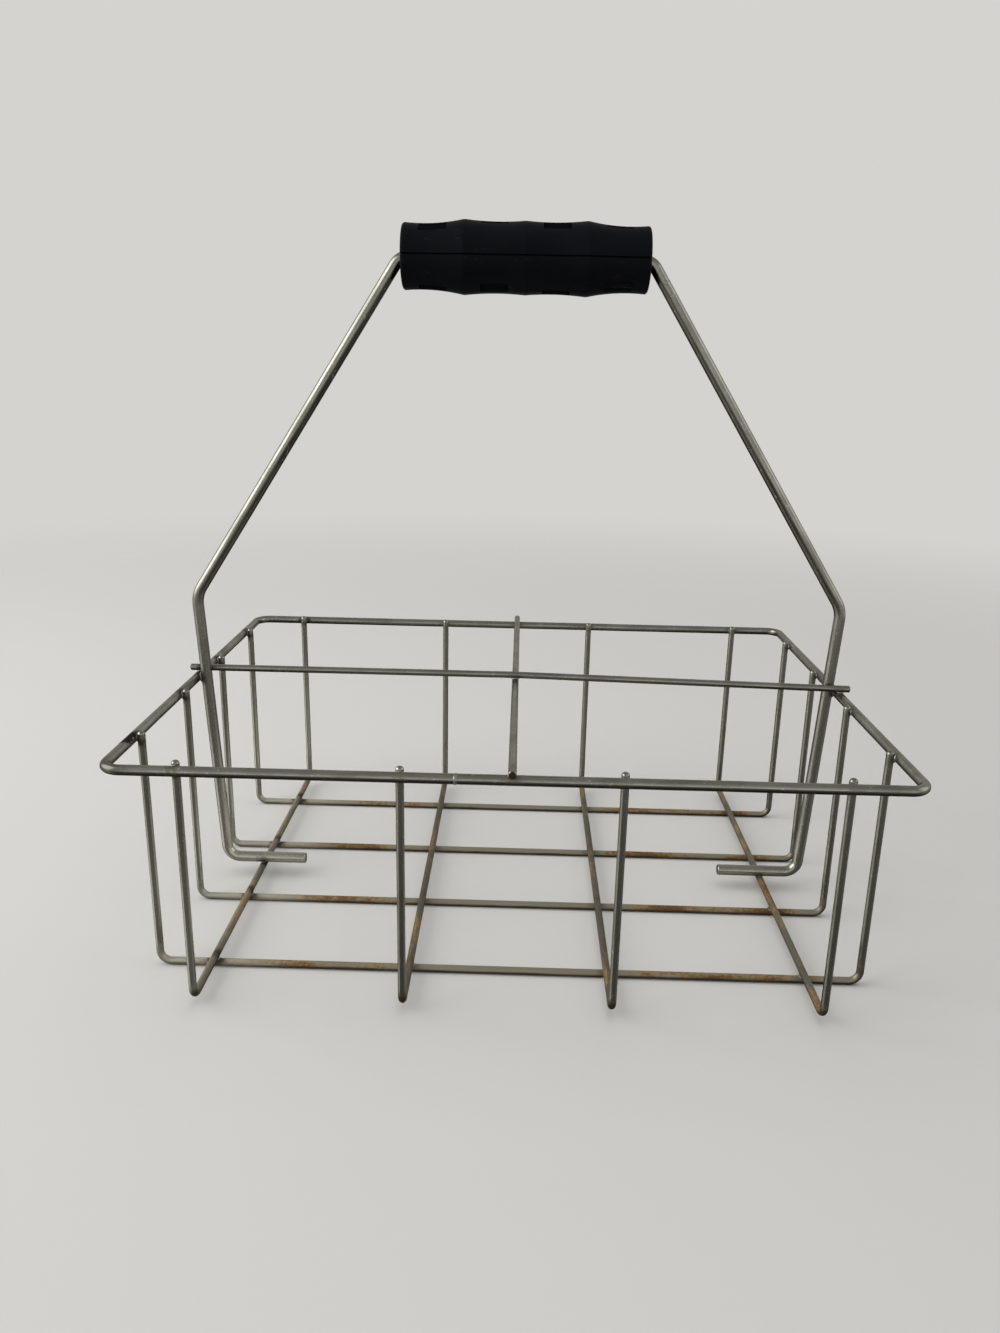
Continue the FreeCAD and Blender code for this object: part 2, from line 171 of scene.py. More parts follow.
def makeWireTree():
    tree, given, result = newTree("bentWire", "GeometryNodeTree", {
        "Path": "Geometry", "Wire Radius": "Float", "Sides": "Int", "Bend Steps": "Int",
        "Ring Spacing": "Float", "End Length": "Float", "End Roundness": "Float", "Waviness": "Float",
        "Seed": "Float", "Welds": "Object", "Finish": "Material",
    }, {"Wire": "Geometry"})
    path = addNode(tree, "GeometryNodeMeshToCurve", {0: given["Path"]})
    bent = addNode(tree, "GeometryNodeFilletCurve", {
        "Curve": path.outputs[0], "Count": given["Bend Steps"],
        "Radius": readAttribute(tree, "bendRadius", "FLOAT"), "Limit Radius": True,
    }, mode="POLY")

    # Long runs get more rings, so that they can carry the welds' stains
    position = addNode(tree, "GeometryNodeInputPosition").outputs[0]
    following = addNode(tree, "GeometryNodeOffsetPointInCurve", {"Offset": 1})
    ahead = addNode(tree, "GeometryNodeFieldAtIndex", {
        "Value": position, "Index": following.outputs["Point Index"],
    }, data_type="FLOAT_VECTOR")
    gap = addNode(tree, "ShaderNodeVectorMath", {0: position, 1: ahead.outputs[0]}, operation="DISTANCE")
    cuts = calc(tree, "FLOOR", calc(tree, "DIVIDE", gap.outputs["Value"], given["Ring Spacing"]))
    rings = addNode(tree, "GeometryNodeSubdivideCurve", {"Curve": bent.outputs[0], "Cuts": cuts})

    # Ends: a power of 2 rounds them, and a power of 1 bevels them
    along = addNode(tree, "GeometryNodeSplineParameter").outputs["Length"]
    total = addNode(tree, "GeometryNodeSplineLength").outputs["Length"]
    closed = addNode(tree, "GeometryNodeInputSplineCyclic").outputs[0]     # puts a loop's end a metre away
    endDistance = plus(tree, calc(tree, "MINIMUM", along, minus(tree, total, along)), closed)
    share = calc(tree, "DIVIDE", endDistance, given["End Length"], clamp=True)
    rest = calc(tree, "POWER", minus(tree, 1.0, share), given["End Roundness"])
    swell = calc(tree, "POWER", minus(tree, 1.0, rest), calc(tree, "DIVIDE", 1.0, given["End Roundness"]))
    shortfall = times(tree, given["End Length"], minus(tree, 1.0, swell))
    slack = times(tree, given["Waviness"], 0.5)     # keeps a wavy wire inside its straight one
    radius = minus(tree, minus(tree, given["Wire Radius"], slack), shortfall)
    kept = capture(tree, rings.outputs[0], "FLOAT", {"along": along, "endDistance": endDistance})

    # A slight waviness, none at an end
    wander = addNode(tree, "ShaderNodeTexNoise", {
        "Vector": position, "W": given["Seed"], "Scale": wireRings["waveScale"], "Detail": 1.0,
    }, noise_dimensions="4D")
    offset = calcVector(tree, "SUBTRACT", wander.outputs["Color"], (0.5, 0.5, 0.5))
    fading = calc(tree, "DIVIDE", endDistance, wireRings["waveFade"], clamp=True)
    wavy = addNode(tree, "GeometryNodeSetPosition", {
        "Geometry": kept["Geometry"], "Offset": enlarge(tree, offset, times(tree, given["Waviness"], fading)),
    })

    profile = addNode(tree, "GeometryNodeCurvePrimitiveCircle", {"Resolution": given["Sides"], "Radius": 1.0})
    keptRound = capture(tree, profile.outputs["Curve"], "VECTOR", {"around": position})
    swept = addNode(tree, "GeometryNodeCurveToMesh", {
        "Curve": wavy.outputs[0], "Profile Curve": keptRound["Geometry"], "Scale": radius, "Fill Caps": True,
    })

    # unbent: the place on the wire as if it lay straight along X, so that grain follows the bends
    around = splitAxes(tree, keptRound["around"])
    unbent = addNode(tree, "ShaderNodeCombineXYZ", {
        0: plus(tree, kept["along"], given["Seed"]),
        1: times(tree, around[0], given["Wire Radius"]),
        2: times(tree, around[1], given["Wire Radius"]),
    })
    weldInfo = addNode(tree, "GeometryNodeObjectInfo", {"Object": given["Welds"]})
    near = addNode(tree, "GeometryNodeProximity", {0: weldInfo.outputs["Geometry"]}, target_element="POINTS")
    facing = splitAxes(tree, addNode(tree, "GeometryNodeInputNormal").outputs[0])
    geometry = swept.outputs[0]
    for name, kind, value in (("unbent", "FLOAT_VECTOR", unbent.outputs[0]),
                              ("endDistance", "FLOAT", kept["endDistance"]),
                              ("weldDistance", "FLOAT", near.outputs["Distance"]),
                              ("facingUp", "FLOAT", facing[2])):
        stored = addNode(tree, "GeometryNodeStoreNamedAttribute", {
            "Geometry": geometry, "Name": name, "Value": value,
        }, data_type=kind, domain="POINT")
        geometry = stored.outputs[0]
    real = addNode(tree, "GeometryNodeRealizeInstances", {0: geometry})
    plug(tree, setFinish(tree, real.outputs[0], given["Finish"]), result["Wire"])
    return tree


def socketNames(tree):
    items = [item for item in tree.interface.items_tree if item.item_type == "SOCKET"]
    return {item.name: item.identifier for item in items if item.in_out == "INPUT"}


def growMesh(name, source, tree, inputs):
    # Runs a geometry tree on a source mesh once and keeps the result as a plain mesh
    seedObject = bpy.data.objects.new(name, source)
    bpy.context.scene.collection.objects.link(seedObject)
    modifier = seedObject.modifiers.new("grow", "NODES")
    modifier.node_group = tree
    names = socketNames(tree)
    for socketName, value in inputs.items():
        modifier[names[socketName]] = value
    depsgraph = bpy.context.evaluated_depsgraph_get()
    mesh = bpy.data.meshes.new_from_object(seedObject.evaluated_get(depsgraph), depsgraph=depsgraph)
    seedObject.modifiers.clear()
    seedObject.data = mesh
    mesh.name = name
    mesh.shade_smooth()
    mesh.set_sharp_from_angle(angle=math.radians(wireRings["sharpAngle"]))
    return seedObject


def pathMesh(name, wire):
    # The corners of a wire as a chain of edges, with extra points where an end is rounded
    corners = list(wire["corners"])
    bends = list(wire["bends"])
    if not wire["closed"]:
        steps = wire["endSteps"]
        shares = [1 - math.cos(math.pi / 2 * step / steps) for step in range(1, steps + 1)]
        for first, second in ((0, 1), (-1, -2)):
            inward = (corners[second] - corners[first]).normalized() * wire["endLength"]
            extra = [corners[first] + inward * share for share in shares]
            if first == 0:
                corners[1:1] = extra
                bends[1:1] = [0.0] * steps
            else:
                corners[-1:-1] = extra[::-1]
                bends[-1:-1] = [0.0] * steps
    edges = [(index, index + 1) for index in range(len(corners) - 1)]
    if wire["closed"]:
        edges.append((len(corners) - 1, 0))
    mesh = bpy.data.meshes.new(name)
    mesh.from_pydata(corners, edges, [])
    mesh.attributes.new("bendRadius", "FLOAT", "POINT").data.foreach_set("value", bends)
    return mesh


# Where the wires run, read from the frame

basketWire = {"bendRadius": 0.005, "endLength": 0.0014, "endRoundness": 2.0, "waviness": 0.00012}
rimWire = {"cornerRadius": 0.0075, "waviness": 0.00015, "buttWeldPlace": -0.0223}
dividerWire = {"bendRadius": 0.6, "endLength": 0.0004, "endRoundness": 1.0, "waviness": 0.00015}
handleWire = {
    "footEnd": 0.1105, "footCorner": 0.1524, "footBend": 0.007,
    "shoulderCorner": 0.15995, "shoulderLevel": 0.15305, "shoulderBend": 0.015,
    "topCorner": 0.0569, "topBend": 0.008,
    "endLength": 0.0004, "endRoundness": 1.0, "waviness": 0.00012,
}


def openWire(radius, corners, bends, sizes):
    return {
        "radius": radius, "corners": [Vector(corner) for corner in corners], "bends": bends, "closed": False,
        "endLength": sizes["endLength"], "endRoundness": sizes["endRoundness"], "waviness": sizes["waviness"],
        "endSteps": wireRings["endSteps"] if sizes["endRoundness"] > 1 else 1,
    }


def basketRun(node):
    low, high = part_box(node)
    lengthwise = 0 if high.x - low.x > high.y - low.y else 1
    radius = (high - low)[1 - lengthwise] / 2
    middle = (low + high) / 2
    reach = (high - low)[lengthwise] / 2 - radius
    corners = []
    for side, level in ((-1, high.z), (-1, low.z + radius), (1, low.z + radius), (1, high.z)):
        corner = Vector((middle.x, middle.y, level))
        corner[lengthwise] = side * reach
        corners.append(corner)
    bend = basketWire["bendRadius"]
    return openWire(radius, corners, [0.0, bend, bend, 0.0], basketWire)


def rimRun():
    low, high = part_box("rim_wire")
    radius = (high.z - low.z) / 2
    level = (high.z + low.z) / 2
    x = high.x - radius
    y = high.y - radius
    corners = [Vector((x * side, y * face, level)) for side, face in ((-1, -1), (1, -1), (1, 1), (-1, 1))]
    return {
        "radius": radius, "corners": corners, "bends": [rimWire["cornerRadius"]] * 4, "closed": True,
        "endLength": radius, "endRoundness": 1.0, "waviness": rimWire["waviness"],
    }


def dividerRuns():
    low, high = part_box("short_divider_wire")
    radius = (high.x - low.x) / 2
    rise = high.z - low.z - 2 * radius
    end = high.y - radius * rise / high.y     # because the end face of a sloping wire leans past its centre
    short = [(0, -end, high.z - radius), (0, 0, low.z + radius), (0, end, high.z - radius)]
    low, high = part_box("long_divider_wire")
    sway = high.y - radius     # it passes behind the left leg of the handle and in front of the right one
    end = high.x - radius * sway / high.x
    long = [(-end, sway, low.z + radius), (0, 0, high.z - radius), (end, -sway, low.z + radius)]
    bends = [0.0, dividerWire["bendRadius"], 0.0]
    return {"short_divider_wire": openWire(radius, short, bends, dividerWire),
            "long_divider_wire": openWire(radius, long, bends, dividerWire)}


def handleRun():
    low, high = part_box("handle_wire")
    radius = (high.y - low.y) / 2
    right = [
        (handleWire["topCorner"], high.z - radius, handleWire["topBend"]),
        (handleWire["shoulderCorner"], handleWire["shoulderLevel"], handleWire["shoulderBend"]),
        (handleWire["footCorner"], low.z + radius, handleWire["footBend"]),
        (handleWire["footEnd"], low.z + radius, 0.0),
    ]
    left = [(-x, z, bend) for x, z, bend in reversed(right)]
    corners = [(x, 0, z) for x, z, bend in left + right]
    return openWire(radius, corners, [bend for x, z, bend in left + right], handleWire)


basketNodes = [f"{way}_basket_wire_{index}" for way in ("long", "short") for index in range(1, 5)]
wires = {"rim_wire": rimRun(), **dividerRuns(), "handle_wire": handleRun()}
wires.update({node: basketRun(node) for node in basketNodes})
print("wire runs:", len(wires))


# Welds: the record names the wires that are joined, and they cross where their runs come closest

weldBead = {
    "widthShare": 1.12, "thicknessShare": 0.4, "spread": 0.14, "buttWidth": 0.00232, "buttThickness": 0.0016,
    "ballSteps": 3, "lumpiness": 0.0007, "lumpScale": 900.0, "seed": 7,
}


def straightRuns(wire):
    corners = wire["corners"]
    ends = corners[1:] + (corners[:1] if wire["closed"] else [])
    return list(zip(corners, ends))


def isOnRun(point, run):
    start, end = run
    share = (point - start).dot(end - start) / (end - start).length_squared
    return 0 <= share <= 1


def findWelds():
    welds = []
    for firstNode, secondNode in frame["record"]["behaviour"]["press_fits"]:
        first, second = wires[firstNode], wires[secondNode]
        reach = first["radius"] + second["radius"]
        for firstRun in straightRuns(first):
            for secondRun in straightRuns(second):
                near = intersect_line_line(*firstRun, *secondRun)
                if not near or not isOnRun(near[0], firstRun) or not isOnRun(near[1], secondRun):
                    continue
                apart = near[1] - near[0]
                if apart.length < reach:
                    place = near[0] + apart * first["radius"] / reach
                    welds.append((place, apart.normalized(), min(first["radius"], second["radius"])))
    return welds


def weldMesh(welds, hasButtWeld):
    width, thickness = weldBead["widthShare"], weldBead["thicknessShare"]
    places = [place for place, normal, radius in welds]
    normals = [normal for place, normal, radius in welds]
    scales = [Vector((radius * width, radius * width, radius * thickness)) for place, normal, radius in welds]
    spreads = [weldBead["spread"]] * len(welds)
    if hasButtWeld:
        rim = wires["rim_wire"]["corners"][0]
        places.append(Vector((rimWire["buttWeldPlace"], rim.y, rim.z)))     # where the rim's two ends meet
        normals.append(Vector((1, 0, 0)))
        scales.append(Vector((weldBead["buttWidth"], weldBead["buttWidth"], weldBead["buttThickness"])))
        spreads.append(0.0)
    mesh = bpy.data.meshes.new("weldPlaces")
    mesh.from_pydata(places, [], [])
    for name, vectors in (("weldNormal", normals), ("weldScale", scales)):
        flat = [value for vector in vectors for value in vector]
        mesh.attributes.new(name, "FLOAT_VECTOR", "POINT").data.foreach_set("vector", flat)
    mesh.attributes.new("weldSpread", "FLOAT", "POINT").data.foreach_set("value", spreads)
    return mesh


def makeWeldTree():
    tree, given, result = newTree("weldBeads", "GeometryNodeTree", {
        "Places": "Geometry", "Lumpiness": "Float", "Seed": "Int", "Finish": "Material",
    }, {"Beads": "Geometry"})
    ball = addNode(tree, "GeometryNodeMeshIcoSphere", {"Radius": 1.0, "Subdivisions": weldBead["ballSteps"]})
    spread = readAttribute(tree, "weldSpread", "FLOAT")
    size = addNode(tree, "FunctionNodeRandomValue", {
        2: minus(tree, 1.0, spread), 3: plus(tree, 1.0, spread), "Seed": given["Seed"],
    }, data_type="FLOAT")
    facing = addNode(tree, "FunctionNodeAlignRotationToVector", {
        "Vector": readAttribute(tree, "weldNormal", "FLOAT_VECTOR"),
    }, axis="Z")
    beads = addNode(tree, "GeometryNodeInstanceOnPoints", {
        "Points": given["Places"], "Instance": ball.outputs["Mesh"], "Rotation": facing.outputs[0],
        "Scale": enlarge(tree, readAttribute(tree, "weldScale", "FLOAT_VECTOR"), size.outputs[1]),
    })
    real = addNode(tree, "GeometryNodeRealizeInstances", {0: beads.outputs[0]})
    position = addNode(tree, "GeometryNodeInputPosition").outputs[0]
    lump = blotch(tree, position, weldBead["lumpScale"], detail=2.0)
    push = times(tree, minus(tree, lump, 0.5), given["Lumpiness"])
    outward = addNode(tree, "GeometryNodeInputNormal").outputs[0]
    lumpy = addNode(tree, "GeometryNodeSetPosition", {
        "Geometry": real.outputs[0], "Offset": enlarge(tree, outward, push),
    })
    plug(tree, setFinish(tree, lumpy.outputs[0], given["Finish"]), result["Beads"])
    return tree


# Effects that the finishes use. A range is the low and high value of a ramp, and what it starts and ends with

grainLook = {"stretch": (0.02, 1.0, 1.0), "pitRange": (0.3, 0.5), "lineHeight": 0.45, "pitHeight": 0.55}


def makeDrawnGrain():
    # Fine lines along the wire, left by the drawing die, and small pits
    tree, given, result = newTree("drawnGrain", "ShaderNodeTree", {
        "Vector": "Vector", "Line Scale": "Float", "Pit Scale": "Float",
    }, {"Lines": "Float", "Height": "Float"})
    stretched = calcVector(tree, "MULTIPLY", given["Vector"], grainLook["stretch"])
    lines = blotch(tree, stretched, given["Line Scale"], detail=3.0, roughness=0.6)
    pitted = blotch(tree, given["Vector"], given["Pit Scale"], detail=3.0, roughness=0.6, shift=3.0)
    pits = ramp(tree, pitted, *grainLook["pitRange"])
    height = weighted(tree, (lines, grainLook["lineHeight"]), (pits, grainLook["pitHeight"]))
    plug(tree, lines, result["Lines"])
    plug(tree, height, result["Height"])
    return tree


patinaLook = {
    "stretch": (0.45, 1.0, 1.0), "bloomRange": (0.32, 0.68), "broadScale": 0.45, "broadShare": 0.6,
    "fineScale": 7.0, "fineShare": 0.4, "stainEdge": 0.12,
}


def makePatina():
    # Dull bloom in patches, and darker stains
    tree, given, result = newTree("patina", "ShaderNodeTree", {
        "Vector": "Vector", "Patch Scale": "Float", "Stain Level": "Float",
    }, {"Bloom": "Float", "Stain": "Float"})
    stretched = calcVector(tree, "MULTIPLY", given["Vector"], patinaLook["stretch"])
    broadScale = times(tree, given["Patch Scale"], patinaLook["broadScale"])
    fineScale = times(tree, given["Patch Scale"], patinaLook["fineScale"])
    bloom = blotch(tree, stretched, given["Patch Scale"], detail=6.0, roughness=0.62)
    broad = blotch(tree, stretched, broadScale, detail=3.0, roughness=0.5, shift=5.0)
    fine = blotch(tree, given["Vector"], fineScale, detail=4.0, roughness=0.65, shift=6.0)
    level = weighted(tree, (broad, patinaLook["broadShare"]), (fine, patinaLook["fineShare"]))
    stainEnd = plus(tree, given["Stain Level"], patinaLook["stainEdge"])
    plug(tree, ramp(tree, bloom, *patinaLook["bloomRange"]), result["Bloom"])
    plug(tree, ramp(tree, level, given["Stain Level"], stainEnd), result["Stain"])
    return tree


scuffLook = {"turns": (0.5, -0.9), "axis": (0.3, 0.5, 1.0), "stretch": (0.08, 1.0, 1.0), "edge": 0.05}


def makeScuffs():
    # Short scratches in two directions
    tree, given, result = newTree("scuffs", "ShaderNodeTree", {
        "Vector": "Vector", "Scale": "Float", "Threshold": "Float",
    }, {"Mask": "Float"})
    end = plus(tree, given["Threshold"], scuffLook["edge"])
    masks = []
    for order, turn in enumerate(scuffLook["turns"], start=1):
        turned = addNode(tree, "ShaderNodeVectorRotate", {
            "Vector": given["Vector"], "Axis": scuffLook["axis"], "Angle": turn,
        })
        drawn = calcVector(tree, "MULTIPLY", turned.outputs[0], scuffLook["stretch"])
        level = blotch(tree, drawn, given["Scale"], detail=2.0, roughness=0.5, shift=float(order))
        masks.append(ramp(tree, level, given["Threshold"], end))
    plug(tree, largest(tree, *masks), result["Mask"])
    return tree


hazeLook = {"least": 0.35, "raggedness": 1.3, "fadeRange": (0.4, 1.0, 1.0, 0.0)}


def makeHaze():
    # Dirt that gathers close to something: full at no distance, none at the reach, with a ragged edge
    tree, given, result = newTree("haze", "ShaderNodeTree", {
        "Vector": "Vector", "Distance": "Float", "Reach": "Float", "Scale": "Float",
    }, {"Mask": "Float"})
    clouds = blotch(tree, given["Vector"], given["Scale"], detail=4.0, roughness=0.6)
    ragged = plus(tree, hazeLook["least"], times(tree, clouds, hazeLook["raggedness"]))
    share = calc(tree, "DIVIDE", given["Distance"], times(tree, given["Reach"], ragged))
    plug(tree, ramp(tree, share, *hazeLook["fadeRange"]), result["Mask"])
    return tree


rustLook = {
    "thin": (0.37, 0.26, 0.125, 1.0), "thick": (0.155, 0.076, 0.034, 1.0), "streak": (0.05, 0.032, 0.02, 1.0),
    "speck": (0.55, 0.49, 0.38, 1.0), "stretch": (0.3, 1.0, 1.0), "streakStretch": (0.05, 1.0, 1.0),
    "fineScale": 9.0, "streakScale": 24.0, "patchShare": 0.6, "fineShare": 0.22, "streakShare": 0.18,
    "bareLevel": 0.74, "amountShare": 0.3, "edge": 0.07, "streakThickness": 0.12, "thickRange": (0.08, 0.2),
    "streakRange": (0.35, 0.6, 0.55, 0.0), "speckRange": (0.64, 0.7), "speckShare": 0.8,
}


def makeFloorRust():
    # Rust in long patches: golden where it is thin, red brown where it is thick, with streaks and pale specks
    tree, given, result = newTree("floorRust", "ShaderNodeTree", {
        "Vector": "Vector", "Amount": "Float", "Patch Scale": "Float",
    }, {"Mask": "Float", "Color": "Color", "Height": "Float"})
    stretched = calcVector(tree, "MULTIPLY", given["Vector"], rustLook["stretch"])
    drawn = calcVector(tree, "MULTIPLY", given["Vector"], rustLook["streakStretch"])
    fineScale = times(tree, given["Patch Scale"], rustLook["fineScale"])
    streakScale = times(tree, given["Patch Scale"], rustLook["streakScale"])
    patches = blotch(tree, stretched, given["Patch Scale"], detail=5.0, roughness=0.62)
    fine = blotch(tree, given["Vector"], fineScale, detail=4.0, roughness=0.65, shift=4.0)
    streaks = blotch(tree, drawn, streakScale, detail=3.0, roughness=0.6, shift=6.0)
    specks = blotch(tree, given["Vector"], streakScale, detail=2.0, roughness=0.5, shift=9.0)
    level = weighted(tree, (patches, rustLook["patchShare"]), (fine, rustLook["fineShare"]),
                     (streaks, rustLook["streakShare"]))
    start = minus(tree, rustLook["bareLevel"], times(tree, given["Amount"], rustLook["amountShare"]))
    mask = ramp(tree, level, start, plus(tree, start, rustLook["edge"]))
    depth = plus(tree, minus(tree, level, start), times(tree, streaks, rustLook["streakThickness"]))
    color = tint(tree, ramp(tree, depth, *rustLook["thickRange"]), rustLook["thin"], rustLook["thick"])
    color = tint(tree, ramp(tree, streaks, *rustLook["streakRange"]), color, rustLook["streak"])
    speckled = times(tree, ramp(tree, specks, *rustLook["speckRange"]), rustLook["speckShare"])
    plug(tree, mask, result["Mask"])
    plug(tree, tint(tree, speckled, color, rustLook["speck"]), result["Color"])
    plug(tree, times(tree, mask, fine), result["Height"])
    return tree


nickLook = {"fadeRange": (0.35, 1.0, 1.0, 0.0)}


def makeNicks():
    # Small dents from knocks, scattered over the wire
    tree, given, result = newTree("nicks", "ShaderNodeTree", {
        "Vector": "Vector", "Scale": "Float", "Size": "Float", "Share": "Float",
    }, {"Mask": "Float"})
    cells = addNode(tree, "ShaderNodeTexVoronoi", {"Vector": given["Vector"], "Scale": given["Scale"]})
    share = calc(tree, "DIVIDE", cells.outputs["Distance"], given["Size"])
    isDented = calc(tree, "LESS_THAN", cells.outputs["Color"], given["Share"])
    plug(tree, times(tree, ramp(tree, share, *nickLook["fadeRange"]), isDented), result["Mask"])
    return tree


drawnGrain = makeDrawnGrain()
patina = makePatina()
scuffs = makeScuffs()
haze = makeHaze()
floorRust = makeFloorRust()
nicks = makeNicks()


# Finishes

def placeGroup(tree, group, inputs):
    return addNode(tree, "ShaderNodeGroup", inputs, node_tree=group).outputs


def newMaterial(name):
    material = bpy.data.materials.new(name)
    material.use_nodes = True
    tree = material.node_tree
    tree.nodes.clear()
    shader = addNode(tree, "ShaderNodeBsdfPrincipled")
    addNode(tree, "ShaderNodeOutputMaterial", {"Surface": shader.outputs[0]})
    return material, tree, shader


def attribute(tree, name, output):
    return addNode(tree, "ShaderNodeAttribute", attribute_name=name).outputs[output]


def objectPlace(tree):
    return addNode(tree, "ShaderNodeTexCoord").outputs["Object"]


def finishSurface(tree, shader, color, roughness, height, finish):
    bump = addNode(tree, "ShaderNodeBump", {
        "Strength": finish["bumpStrength"], "Distance": finish["bumpDepth"], "Height": height,
    })
    plug(tree, color, shader.inputs["Base Color"])
    plug(tree, roughness, shader.inputs["Roughness"])
    plug(tree, bump.outputs[0], shader.inputs["Normal"])


weldSoot = {
    "black": (0.016, 0.013, 0.01, 1.0), "singed": (0.1, 0.066, 0.038, 1.0), "singeRange": (0.25, 0.75),
    "reach": 0.0062, "scale": 480.0, "share": 0.85,
    "endRange": (0.0015, 0.0045), "sideRange": (-0.15, -0.05, 1.0, 0.45),
    "markPlace": (-0.1635, -0.0935, 0.1112), "markStretch": (1.5, 0.55, 1.5),
    "markReach": 0.0065, "markScale": 300.0, "markRange": (0.5, 0.9),
    "flakeScale": 700.0, "flakeRange": (0.4, 0.56), "flakeShare": 0.4,
    "matt": 0.4, "markMatt": 0.95, "roughness": 0.7, "sheen": 0.12,
}


def gatherSoot(tree, place, unbent):
    # Soot around the welds, heaviest on the left, and one large flaky mark on the rim
    endDistance = attribute(tree, "endDistance", "Fac")
    soot = placeGroup(tree, haze, {
        "Vector": unbent, "Distance": attribute(tree, "weldDistance", "Fac"),
        "Reach": weldSoot["reach"], "Scale": weldSoot["scale"],
    })["Mask"]
    soot = times(tree, soot, ramp(tree, endDistance, *weldSoot["endRange"]))
    soot = times(tree, soot, ramp(tree, splitAxes(tree, place)[0], *weldSoot["sideRange"]))
    fromMark = calcVector(tree, "SUBTRACT", place, weldSoot["markPlace"])
    fromMark = calcVector(tree, "MULTIPLY", fromMark, weldSoot["markStretch"])
    mark = placeGroup(tree, haze, {
        "Vector": unbent, "Distance": lengthOf(tree, fromMark),
        "Reach": weldSoot["markReach"], "Scale": weldSoot["markScale"],
    })["Mask"]
    flaky = blotch(tree, unbent, weldSoot["flakeScale"], detail=5.0, roughness=0.65, shift=8.0)
    flakes = times(tree, ramp(tree, flaky, *weldSoot["flakeRange"]), weldSoot["flakeShare"])
    return times(tree, soot, weldSoot["share"]), ramp(tree, plus(tree, mark, flakes), *weldSoot["markRange"])


zincFinish = {
    "bright": (0.37, 0.363, 0.322, 1.0), "dull": (0.21, 0.204, 0.173, 1.0), "clean": (0.62, 0.605, 0.53, 1.0),
    "shadeAndNickColor": (0.07, 0.063, 0.052, 1.0), "scuff": (0.66, 0.65, 0.62, 1.0),
    "cutEnd": (0.05, 0.042, 0.034, 1.0), "glancing": (0.6, 0.6, 0.59, 1.0),
    "brightRoughness": 0.16, "dullRoughness": 0.32,
    "lineScale": 2200.0, "pitScale": 1500.0, "lineShare": 0.4, "bumpStrength": 0.16, "bumpDepth": 0.00005,
    "patchScale": 110.0, "stainLevel": 0.57, "bloomShare": 0.72, "stainShare": 0.55,
    "undersideShadeRange": (-0.5, 0.05, 0.8, 0.0), "undersideShadeEdge": 0.3,
    "scuffScale": 900.0, "scuffLevel": 0.67, "scuffShare": 0.55,
    "nickScale": 120.0, "nickSize": 0.1, "nickShare": 0.5, "nickDarkness": 0.6, "nickDepth": 2.0,
    "paintedLightHeights": (0.02, 0.1, 1.0, 0.0), "paintedLightSides": (-0.13, -0.09), "paintedLightLeft": 0.7, "paintedLightRight": 0.2,
    "shadedCornerRange": (0.272, 0.285, 0.0, 0.6), "cutEndRange": (0.00005, 0.0003, 0.85, 0.0),
}
basketFinish = {
    "longFilm": (0.3, 0.268, 0.194, 1.0), "shortFilm": (0.08, 0.065, 0.038, 1.0),
    "grime": (0.04, 0.029, 0.018, 1.0), "grimeAndShadeRange": (-0.3, 0.3, 0.8, 0.0),
    "filmHeights": (0.0075, 0.013, 1.0, 0.0), "filmShare": 0.88, "filmDullness": 0.35, "filmRoughness": 0.2,
    "filmCover": 0.35, "longWireLightShare": 0.6,
    "longWireHeights": (0.0034, 0.0037, 1.0, 0.0), "longWireEnds": (0.13, 0.14),
    "rustMiddle": (0.036, 0.06, 0.45, 1.0), "rustEnds": (0.14, 0.157, 1.0, 0.3), "shortRust": 0.82,
    "rustScale": 65.0, "rustRoughness": 0.15, "rustCover": 0.3, "rustDepth": 1.5,
}


